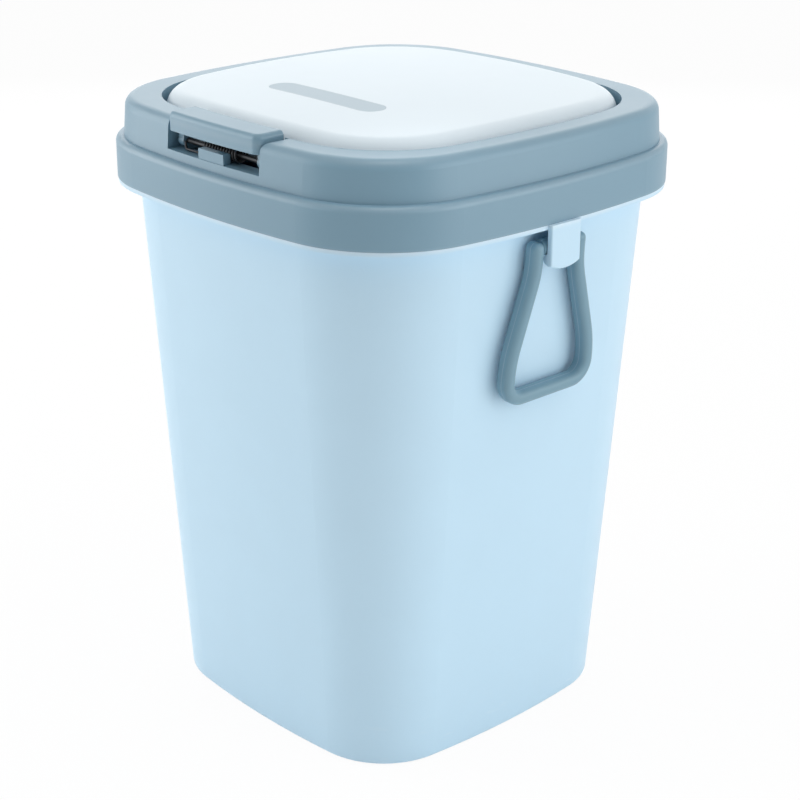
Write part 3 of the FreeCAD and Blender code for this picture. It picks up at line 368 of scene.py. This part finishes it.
def moulded(finish, colour, roughness, grain, wear_and_highlight, fade=0.16, relief=0.04):
    """Moulded plastic: faint flow marks, uneven gloss, a fine grain and pale rubbed edges, which on some
    finishes are also painted highlights.
    """
    flow = finish.noise(FLOW_SCALE, FLOW_DETAIL, FLOW_STRETCH)
    cloud = finish.noise(CLOUD_SCALE)
    shade = flow * FLOW_SHARE + cloud * (1.0 - FLOW_SHARE)
    body = finish.mix(shade, tint(colour, DARK_SHADE), tint(colour, LIGHT_SHADE))
    # The pale band is rubbing wear, and on the bucket's flange and the ring's edges it is also a painted
    # highlight.
    rubbed_and_highlit = wear_and_highlight * (finish.noise(RUB_SCALE, RUB_DETAIL) * (1.0 - RUB_LEAST) + RUB_LEAST)
    dulling = flow * FLOW_DULLING + cloud * CLOUD_DULLING - rubbed_and_highlit * RUB_POLISH
    finish.surface(Base_Color=finish.mix(rubbed_and_highlit, body, pale(colour, fade)),
                   Roughness=dulling + (roughness - MEAN_DULLING))
    finish.bump(finish.noise(grain), relief, GRAIN_HEIGHT)


STREAK_SCALE = 60.0
STREAK_DETAIL = 4.0
STREAK_STRETCH = (1.0, 1.0, 7.0)
STREAK_START = 0.62
STREAK_FULL = 0.74
SCUFF_WEAR = 0.35


def bucket_plastic(colour, edges):
    """Pale blue with scuffs over the base and a painted highlight along the flange."""
    finish = Finish("bucket_plastic")
    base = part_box("bucket")[0][2]
    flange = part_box("lid_ring")[0][2]
    streak = finish.noise(STREAK_SCALE, STREAK_DETAIL, STREAK_STRETCH).ramp(STREAK_START, STREAK_FULL)
    scuffed = finish.z.ramp(base + edges.base_scuff, base) * streak
    # Painted highlight: a paler band at the flange stands for its lip catching light; the scuffs over the
    # base are real wear.
    flange_highlight = finish.z.band(flange, edges.flange_highlight_height)
    wear_and_highlight = (scuffed * SCUFF_WEAR).math("MAXIMUM", flange_highlight)
    moulded(finish, colour, roughness=0.40, grain=900.0, wear_and_highlight=wear_and_highlight, fade=0.4)
    return finish


CROWN_WEAR_AND_HIGHLIGHT = 0.6
RING_WEAR_AND_HIGHLIGHT = 0.45


def ring_plastic(colour, edges):
    """Grey blue with rubbed edges at the skirt, the step and the crown, polished and painted paler there as
    a highlight along the rounded edges.
    """
    finish = Finish("ring_plastic", Specular_IOR_Level=0.7)
    low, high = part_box("lid_ring")
    width = edges.edge_width
    # Painted highlight: these bands are polished like rubbed edges and painted paler to stand for light
    # along the rounded edges.
    step = finish.z.band(low[2] + edges.step_height - width / 4, width)
    crown = finish.z.band(high[2] - width / 4, width)
    skirt = finish.z.band(low[2], width / 2)
    wear_and_highlight = step.math("MAXIMUM", crown * CROWN_WEAR_AND_HIGHLIGHT).math("MAXIMUM", skirt) * RING_WEAR_AND_HIGHLIGHT
    moulded(finish, colour, roughness=0.40, grain=1100.0, wear_and_highlight=wear_and_highlight)
    return finish


FLAP_WEAR = 0.1


def flap_plastic(colour, edges):
    """Cool white with a lightly rubbed edge."""
    finish = Finish("flap_plastic", Specular_IOR_Level=0.12)
    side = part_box("flap_cover")[1][0]
    reach = abs(finish.x).math("MAXIMUM", abs(finish.y))
    edge = reach.ramp(side - edges.edge_width * 2, side)
    moulded(finish, colour, roughness=0.38, grain=700.0, wear_and_highlight=edge * FLAP_WEAR, relief=0.01)
    return finish


def liner_plastic(colour, edges):
    """Off-white with a rubbed lower edge."""
    finish = Finish("liner_plastic")
    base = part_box("flap_liner")[0][2]
    moulded(finish, colour, roughness=0.42, grain=900.0, wear_and_highlight=finish.z.band(base, edges.edge_width))
    return finish


BADGE_EDGE_SHARE = 0.8


def badge_plastic(colour):
    """Light grey with rubbed long edges."""
    finish = Finish("badge_plastic", Specular_IOR_Level=0.1)
    low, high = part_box("badge_plate")
    half = (high[1] - low[1]) / 2
    reach = abs(finish.y - (low[1] + high[1]) / 2)
    moulded(finish, colour, roughness=0.48, grain=1600.0, wear_and_highlight=reach.ramp(half * BADGE_EDGE_SHARE, half))
    return finish


def loop_plastic(colour, edges):
    """Grey blue with the moulding seam that runs round a loop."""
    finish = Finish("handle_plastic")
    pivot = joint_place("right_handle_swing")
    out = abs(finish.x) - pivot.x
    down = pivot.z - finish.z
    depth = out * math.cos(edges.loop_lean) + down * math.sin(edges.loop_lean)
    seam = depth.band(edges.seam_back, edges.seam_width)
    moulded(finish, colour, roughness=0.42, grain=1100.0, wear_and_highlight=seam, fade=0.26)
    return finish


DRAWN_SCALE = 700.0
DRAWN_STRETCH = (0.05, 1.0, 1.0)
STEEL_DARK = 0.8
STEEL_LIGHT = 1.2
STEEL_ROUGHNESS = 0.4
STEEL_DULLING = 0.2


def spring_steel(colour):
    """Drawn wire with fine lines along it."""
    finish = Finish("steel", Metallic=1.0)
    drawn = finish.noise(DRAWN_SCALE, stretch=DRAWN_STRETCH)
    finish.surface(Base_Color=finish.mix(drawn, tint(colour, STEEL_DARK), tint(colour, STEEL_LIGHT)),
                   Roughness=drawn * STEEL_DULLING + STEEL_ROUGHNESS)
    return finish


def dress(finish, slot, *pieces):
    """Gives CAD nodes or new pieces their finish."""
    for piece in pieces:
        piece.data.materials.clear()
        piece.data.materials.append(finish.material)


# Springs

class Wire:
    """A round wire drawn from an open end, a bend or a straight run at a time."""

    def __init__(self, radius, sides, place, heading):
        self.bm = bmesh.new()
        turn = UP.rotation_difference(heading).to_matrix().to_4x4()
        turn.translation = place
        reach = radius / math.cos(math.pi / sides)
        circle = bmesh.ops.create_circle(self.bm, segments=sides, radius=reach, matrix=turn)
        self.first = list({edge for vert in circle["verts"] for edge in vert.link_edges})
        self.end = self.first

    def run(self, travel):
        """Carries the open end straight on."""
        made = bmesh.ops.extrude_edge_only(self.bm, edges=self.end)["geom"]
        verts = [item for item in made if isinstance(item, bmesh.types.BMVert)]
        bmesh.ops.translate(self.bm, verts=verts, vec=travel)
        self.end = [item for item in made if isinstance(item, bmesh.types.BMEdge)
                    and all(vert in verts for vert in item.verts)]

    def turn(self, centre, axis, angle, steps, rise=Vector()):
        """Carries the open end round a bend, or round a coil that rises along its axis."""
        verts = list({vert for edge in self.end for vert in edge.verts})
        made = bmesh.ops.spin(self.bm, geom=self.end + verts, cent=centre, axis=axis, angle=angle,
                              steps=steps, dvec=rise / steps)
        self.end = [item for item in made["geom_last"] if isinstance(item, bmesh.types.BMEdge)]

    def finish(self, name):
        """Closes both ends and makes the object."""
        bmesh.ops.holes_fill(self.bm, edges=[edge for edge in self.bm.edges if edge.is_boundary], sides=0)
        return make_piece(self.bm, name)


def make_piece(bm, name):
    """Turns a finished bmesh into an object of the scene."""
    bmesh.ops.recalc_face_normals(bm, faces=bm.faces)
    mesh = bpy.data.meshes.new(name)
    bm.to_mesh(mesh)
    bm.free()
    mesh.shade_smooth()
    piece = bpy.data.objects.new(name, mesh)
    bpy.context.scene.collection.objects.link(piece)
    return piece


def joint_place(name):
    """Point on the axis of a joint of the record."""
    return Vector(next(joint["pos_m"] for joint in frame["record"]["behaviour"]["joints"]
                       if joint["name"] == name))


# Operators

class BIN_OT_bucket(bpy.types.Operator):
    """Finishes the bucket"""
    bl_idname = "bin.bucket"
    bl_label = "Finish the bucket"

    def execute(self, context):
        finish = bucket_plastic(context.scene.bin_finishes.bucket, context.scene.bin_edges)
        dress(finish, "bucket_plastic", frame["nodes"]["bucket"])
        return {"FINISHED"}


class BIN_OT_lid_ring(bpy.types.Operator):
    """Finishes the lid ring and the press button"""
    bl_idname = "bin.lid_ring"
    bl_label = "Finish the lid ring"

    def execute(self, context):
        finish = ring_plastic(context.scene.bin_finishes.ring, context.scene.bin_edges)
        dress(finish, "ring_plastic", frame["nodes"]["lid_ring"], frame["nodes"]["latch_button"])
        return {"FINISHED"}


class BIN_OT_flap(bpy.types.Operator):
    """Finishes the flap, the pan under it and the badge on it"""
    bl_idname = "bin.flap"
    bl_label = "Finish the flap"

    def execute(self, context):
        colours = context.scene.bin_finishes
        edges = context.scene.bin_edges
        dress(flap_plastic(colours.flap, edges), "flap_plastic", frame["nodes"]["flap_cover"])
        dress(liner_plastic(colours.flap, edges), "liner_plastic", frame["nodes"]["flap_liner"])
        dress(badge_plastic(colours.badge), "badge_plastic", frame["nodes"]["badge_plate"])
        return {"FINISHED"}


class BIN_OT_loops(bpy.types.Operator):
    """Finishes the two carry loops"""
    bl_idname = "bin.loops"
    bl_label = "Finish the carry loops"

    def execute(self, context):
        finish = loop_plastic(context.scene.bin_finishes.loop, context.scene.bin_edges)
        dress(finish, "handle_plastic", frame["nodes"]["right_handle"], frame["nodes"]["left_handle"])
        return {"FINISHED"}


class BIN_OT_springs(bpy.types.Operator):
    """Finishes the rods and winds the button spring and the two flap springs"""
    bl_idname = "bin.springs"
    bl_label = "Make the springs"

    def execute(self, context):
        steel = spring_steel(context.scene.bin_finishes.steel)
        sizes = context.scene.bin_springs
        dress(steel, "steel", frame["nodes"]["hinge_rod"], frame["nodes"]["button_pin"])
        spring = self.button_spring(sizes)
        half = sizes.button_pitch * sizes.button_turns / 2
        self.fit(spring, steel, "button_spring", "button", -half, half)
        for side, sign in (("right", 1), ("left", -1)):
            spring = self.flap_spring(sizes, side, sign)
            end = sizes.flap_start + sizes.flap_pitch * sizes.flap_turns
            self.fit(spring, steel, f"flap_spring_{side}", "flap", sign * sizes.flap_start, sign * end)
        return {"FINISHED"}

    def fit(self, spring, steel, node, moving, start, end):
        """Puts a spring in place of its CAD node."""
        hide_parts(node)
        dress(steel, "steel", spring)
        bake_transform(spring)

    def button_spring(self, sizes):
        """Coil on the button's pin, with a fixed leg on the sill and a moving leg up the button."""
        axis = joint_place("button_press")
        length = sizes.button_pitch * sizes.button_turns
        bend = sizes.button_bend
        start = axis - ALONG_X * length / 2 - UP * sizes.button_coil
        wire = Wire(sizes.button_wire, sizes.sides, start, ALONG_Y)
        wire.turn(axis - ALONG_X * length / 2, ALONG_X, sizes.button_turns * math.tau,
                  round(sizes.button_turns * sizes.steps), ALONG_X * length)
        wire.run(UP * sizes.button_rise)
        wire.end = wire.first
        wire.run(-ALONG_Y * (sizes.button_reach - bend))
        corner = start - ALONG_Y * (sizes.button_reach - bend) - ALONG_X * bend
        wire.turn(corner, UP, -QUARTER, sizes.button_bend_steps)
        wire.run(-ALONG_X * (sizes.button_run - 2 * bend))
        corner = corner - ALONG_Y * bend - ALONG_X * (sizes.button_run - 2 * bend) + UP * bend
        wire.turn(corner, ALONG_Y, QUARTER, sizes.button_bend_steps)
        wire.run(UP * (sizes.button_tip - bend))
        return wire.finish("wound_button_spring")

    def flap_spring(self, sizes, side, sign):
        """Coil on the hinge rod, with a fixed leg down the ring and a moving leg under the flap."""
        axis = joint_place("flap_hinge") + ALONG_X * sizes.flap_start
        length = sizes.flap_pitch * sizes.flap_turns
        start = axis + ALONG_Y * sizes.flap_coil
        wire = Wire(sizes.flap_wire, sizes.sides, start, UP)
        wire.turn(axis, ALONG_X, sizes.flap_turns * math.tau, round(sizes.flap_turns * sizes.steps),
                  ALONG_X * length)
        bend = QUARTER + math.atan2(sizes.flap_lift, sizes.flap_run)
        tangent = sizes.flap_bend * math.tan(bend / 2)
        wire.run(-UP * (sizes.flap_low - tangent))
        corner = (axis + ALONG_X * length - ALONG_Y * (sizes.flap_coil + sizes.flap_bend)
                  - UP * (sizes.flap_low - tangent))
        wire.turn(corner, ALONG_X, -bend, sizes.flap_bend_steps)
        heading = UP * sizes.flap_lift - ALONG_Y * sizes.flap_run
        wire.run(heading - heading.normalized() * tangent)
        wire.end = wire.first
        wire.run(-UP * sizes.flap_drop)
        bmesh.ops.scale(wire.bm, verts=wire.bm.verts, vec=(sign, 1.0, 1.0))
        return wire.finish(f"wound_flap_spring_{side}")


FLOOR_DARK = (0.90, 0.90, 0.90, 1.0)
FLOOR_LIGHT = (0.93, 0.93, 0.93, 1.0)
FLOOR_SHEEN_SCALE = 3.0
ROOM_WHITE = (1.0, 1.0, 1.0, 1.0)
SOFTBOXES = {
    "left_softbox": {"azimuth": -50.0, "elevation": 12.0, "size": 1.1, "power": "left_light"},
    "right_softbox": {"azimuth": 115.0, "elevation": 12.0, "size": 1.1, "power": "right_light"},
    "back_softbox": {"azimuth": 227.0, "elevation": 24.0, "size": 1.2, "power": "back_light"},
}


class BIN_OT_stage(bpy.types.Operator):
    """Sets up the floor, the lights, the room and the camera"""
    bl_idname = "bin.stage"
    bl_label = "Set the stage"

    def execute(self, context):
        stage = context.scene.bin_stage
        self.floor(stage)
        self.lights(stage)
        self.room(context, stage)
        self.camera(context, stage)
        context.scene.view_settings.view_transform = "Standard"
        return {"FINISHED"}

    def floor(self, stage):
        """Pale floor that shows nearly white and keeps the shadow."""
        bm = bmesh.new()
        bmesh.ops.create_circle(bm, cap_ends=True, radius=stage.floor_radius, segments=stage.floor_sides)
        plate = make_piece(bm, "floor")
        finish = Finish("floor_white", Roughness=0.9)
        finish.surface(Base_Color=finish.mix(finish.noise(FLOOR_SHEEN_SCALE), FLOOR_DARK, FLOOR_LIGHT))
        white = finish.node("ShaderNodeEmission", inputs={"Strength": 1.0})
        both = finish.node("ShaderNodeMixShader", inputs={
            0: seen_rays(finish) * stage.floor_white, 1: finish.shader["BSDF"], 2: white["Emission"]})
        finish.feed(finish.output.node.inputs["Surface"], both["Shader"])
        plate.data.materials.append(finish.material)

    def lights(self, stage):
        for name, place in SOFTBOXES.items():
            holder = self.softbox(name, place["size"], getattr(stage, place["power"]))
            azimuth = math.radians(place["azimuth"])
            aim(holder, azimuth, math.radians(place["elevation"]), stage.light_distance, stage.target)
        holder = self.softbox("floor_softbox", stage.floor_light_size, stage.floor_light)
        holder.data.spread = stage.floor_light_spread
        reach = stage.floor_light_reach
        holder.location = (math.sin(stage.azimuth) * reach, -math.cos(stage.azimuth) * reach,
                           stage.floor_light_height)

    def softbox(self, name, size, power):
        lamp = bpy.data.lights.new(name, "AREA")
        lamp.shape = "SQUARE"
        lamp.size = size
        lamp.energy = power
        holder = bpy.data.objects.new(name, lamp)
        holder.visible_camera = False
        bpy.context.scene.collection.objects.link(holder)
        return holder

    def room(self, context, stage):
        """White room lit by its ceiling."""
        world = bpy.data.worlds.new("studio")
        shading = Shading(world)
        heading = shading.node("ShaderNodeTexCoord")["Generated"]
        rise = shading.node("ShaderNodeSeparateXYZ", inputs={"Vector": heading})["Z"]
        light = rise.ramp(stage.ceiling_start, stage.ceiling_full) * stage.ceiling_glow
        strength = light + seen_rays(shading) * (1.0 - light)
        background = shading.node("ShaderNodeBackground", inputs={"Color": ROOM_WHITE, "Strength": strength})
        shading.node("ShaderNodeOutputWorld", inputs={"Surface": background["Background"]})
        context.scene.world = world

    def camera(self, context, stage):
        lens = bpy.data.cameras.new("photo_camera")
        lens.lens = stage.lens
        lens.shift_x = stage.shift_x
        lens.shift_y = stage.shift_y
        holder = bpy.data.objects.new("photo_camera", lens)
        aim(holder, stage.azimuth, stage.elevation, stage.distance, stage.target, stage.roll)
        context.scene.collection.objects.link(holder)
        context.scene.camera = holder


def aim(holder, azimuth, elevation, distance, height, roll=0.0):
    """Puts a lamp or camera on a sphere round the bin, looking at a height on its axis."""
    level = math.cos(elevation)
    away = Vector((math.sin(azimuth) * level, -math.cos(azimuth) * level, math.sin(elevation)))
    holder.location = UP * height + away * distance
    facing = away.to_track_quat("Z", "Y").to_matrix() @ Matrix.Rotation(roll, 3, "Z")
    holder.rotation_euler = facing.to_euler()


def seen_rays(shading):
    """1 for rays that show the white studio itself, straight on or mirrored."""
    path = shading.node("ShaderNodeLightPath")
    mirrored = path["Is Glossy Ray"].math("MAXIMUM", path["Is Transmission Ray"])
    return path["Is Camera Ray"].math("MAXIMUM", mirrored)


class BIN_PT_panel(bpy.types.Panel):
    """Lists the pieces of the bin"""
    bl_idname = "BIN_PT_panel"
    bl_label = "Kitchen bin"
    bl_space_type = "VIEW_3D"
    bl_region_type = "UI"
    bl_category = "Bin"

    def draw(self, context):
        for operator in OPERATORS:
            self.layout.operator(operator.bl_idname)


OPERATORS = (BIN_OT_bucket, BIN_OT_lid_ring, BIN_OT_flap, BIN_OT_loops, BIN_OT_springs, BIN_OT_stage)
GROUPS = {
    "bin_finishes": BinFinishes,
    "bin_edges": BinEdges,
    "bin_springs": BinSprings,
    "bin_stage": BinStage,
}


def register():
    for kind in (*GROUPS.values(), *OPERATORS, BIN_PT_panel):
        bpy.utils.register_class(kind)
    for name, group in GROUPS.items():
        setattr(bpy.types.Scene, name, PointerProperty(type=group))


def unregister():
    for name in GROUPS:
        delattr(bpy.types.Scene, name)
    for kind in reversed((*GROUPS.values(), *OPERATORS, BIN_PT_panel)):
        bpy.utils.unregister_class(kind)


def main():
    register()
    bpy.ops.bin.bucket()
    bpy.ops.bin.lid_ring()
    bpy.ops.bin.flap()
    bpy.ops.bin.loops()
    bpy.ops.bin.springs()
    bpy.ops.bin.stage()


if __name__ == "__main__":
    main()
